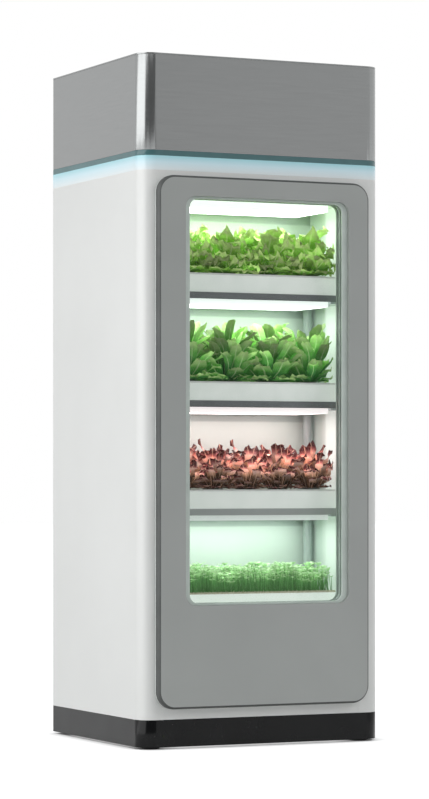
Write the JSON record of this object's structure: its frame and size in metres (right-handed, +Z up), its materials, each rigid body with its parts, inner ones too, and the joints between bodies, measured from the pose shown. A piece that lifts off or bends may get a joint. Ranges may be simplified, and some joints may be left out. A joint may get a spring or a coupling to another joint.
{
  "type": "hydroponic grow cabinet",
  "caption": "Tall insulated indoor grow cabinet with a glazed hinged door, stacked lit hydroponic trays of salad plants, a water tank below and a service head with a light band.",
  "frame": {"origin": "on the floor under the middle of the box round the cabinet and its closed door", "axes": "+Z up, -Y out of the front of the door, +X to the right as seen from the front"},
  "size_m": [0.6, 0.534, 1.54],
  "materials": {
    "black_plinth": "satin black",
    "rubber_black": "moulded",
    "white_coat": "satin white powder coat",
    "foam": "cut foam",
    "white_liner": "gloss white sheet",
    "rail_alu": "mill finish",
    "shelf_grey": "grey coat",
    "lamp_white": "white coat",
    "lamp_opal": "opal cover, lit",
    "tray_white": "gloss white",
    "board_white": "satin white",
    "pot_black": "matt black",
    "leaf_light": "frilled leaf",
    "leaf_green": "smooth leaf",
    "leaf_red": "red leaf",
    "leaf_micro": "seedling leaf",
    "mat_fibre": "coarse fibre",
    "tank_plastic": "translucent grey",
    "lid_plastic": "satin grey",
    "flap_orange": "orange",
    "pump_plastic": "dark",
    "impeller_plastic": "ivory",
    "float_red": "red",
    "pipe_grey": "grey pipe",
    "valve_brass": "turned",
    "lever_red": "red dip coat",
    "chassis_steel": "plated sheet",
    "band_opal": "opal, lit pale cyan",
    "trim_teal": "dark teal",
    "head_grey": "metallic grey satin",
    "fan_black": "black",
    "driver_alu": "cast case",
    "board_green": "printed board",
    "inlet_black": "black",
    "rocker_red": "dark red",
    "door_grey": "grey satin",
    "door_inner": "pale grey",
    "clear_glass": "clear, faint green",
    "trim_pale": "pale grey",
    "seal_grey": "grey-green seal",
    "screw_steel": "plated"
  },
  "bodies": {
    "cabinet": {"plinth": "black_plinth", "foot_pads": "rubber_black", "base_panel": "white_coat", "left_side_panel": "white_coat", "right_side_panel": "white_coat", "wall_insulation": "foam", "back_panel": "white_coat", "roof_panel": "white_coat", "liner_sides": "white_liner", "liner_back": "white_liner", "liner_ceiling": "white_liner", "chamber_floor": "white_liner", "shelf_rails": "rail_alu", "shelves": "shelf_grey", "lamp_housings": "lamp_white", "lamp_diffusers": "lamp_opal", "nutrient_tank": "tank_plastic", "tank_lid": "lid_plastic", "circulation_pump": "pump_plastic", "feed_riser": "pipe_grey", "drain_stack": "pipe_grey", "drain_valve": "valve_brass", "head_base": "chassis_steel", "band_diffuser": "band_opal", "band_trim": "trim_teal", "head_shell": "head_grey", "head_lid": "head_grey", "head_rear_panel": "chassis_steel", "exhaust_fan": "fan_black", "led_drivers": "driver_alu", "control_board": "board_green", "power_inlet": "inlet_black", "door_hinges": "white_coat", "panel_screws": "screw_steel"},
    "door": {"door_front_panel": "door_grey", "door_inner_panel": "door_inner", "window_panes": "clear_glass", "window_trim": "trim_pale", "door_gasket": "seal_grey"},
    "top_tray_set": {"top_tray": "tray_white", "top_board": "board_white", "top_pots": "pot_black", "lettuce": "leaf_light"},
    "upper_tray_set": {"upper_tray": "tray_white", "upper_board": "board_white", "upper_pots": "pot_black", "romaine": "leaf_green"},
    "lower_tray_set": {"lower_tray": "tray_white", "lower_board": "board_white", "lower_pots": "pot_black", "red_lettuce": "leaf_red"},
    "bottom_tray_set": {"bottom_tray": "tray_white", "grow_mat": "mat_fibre", "microgreens": "leaf_micro"},
    "filler_cover": {"fill_flap": "flap_orange"},
    "pump_wheel": {"pump_impeller": "impeller_plastic"},
    "float": {"level_float": "float_red"},
    "valve_handle": {"drain_lever": "lever_red"},
    "fan_wheel": {"fan_rotor": "fan_black"},
    "switch_rocker": {"power_rocker": "rocker_red"}
  },
  "joints": [
    {"name": "door_swing", "type": "hinge", "parent": "cabinet", "child": "door", "pos_m": [0.2615, -0.248, 0.679], "axis": [0, 0, 1], "range_deg": [0, 120]},
    {"name": "top_tray_lift", "type": "slide", "parent": "cabinet", "child": "top_tray_set", "axis": [0, 0, 1], "range_m": [0, 0.012]},
    {"name": "upper_tray_lift", "type": "slide", "parent": "cabinet", "child": "upper_tray_set", "axis": [0, 0, 1], "range_m": [0, 0.012]},
    {"name": "lower_tray_lift", "type": "slide", "parent": "cabinet", "child": "lower_tray_set", "axis": [0, 0, 1], "range_m": [0, 0.012]},
    {"name": "bottom_tray_lift", "type": "slide", "parent": "cabinet", "child": "bottom_tray_set", "axis": [0, 0, 1], "range_m": [0, 0.012]},
    {"name": "filler_cover_hinge", "type": "hinge", "parent": "cabinet", "child": "filler_cover", "pos_m": [0, -0.145, 0.223], "axis": [-1, 0, 0], "range_deg": [0, 85]},
    {"name": "pump_spin", "type": "hinge", "parent": "cabinet", "child": "pump_wheel", "pos_m": [0.207, -0.043, 0.129], "axis": [0, 1, 0], "continuous": true},
    {"name": "float_rise", "type": "slide", "parent": "cabinet", "child": "float", "axis": [0, 0, 1], "range_m": [0, 0.05]},
    {"name": "drain_turn", "type": "hinge", "parent": "cabinet", "child": "valve_handle", "pos_m": [-0.1, 0.238, 0.135], "axis": [0, 0, 1], "range_deg": [0, 90]},
    {"name": "fan_spin", "type": "hinge", "parent": "cabinet", "child": "fan_wheel", "pos_m": [0.14, 0.239, 1.43], "axis": [0, 1, 0], "continuous": true},
    {"name": "switch_rock", "type": "hinge", "parent": "cabinet", "child": "switch_rocker", "pos_m": [-0.155, 0.252, 1.385], "axis": [1, 0, 0], "range_deg": [-20, 0]}
  ]
}
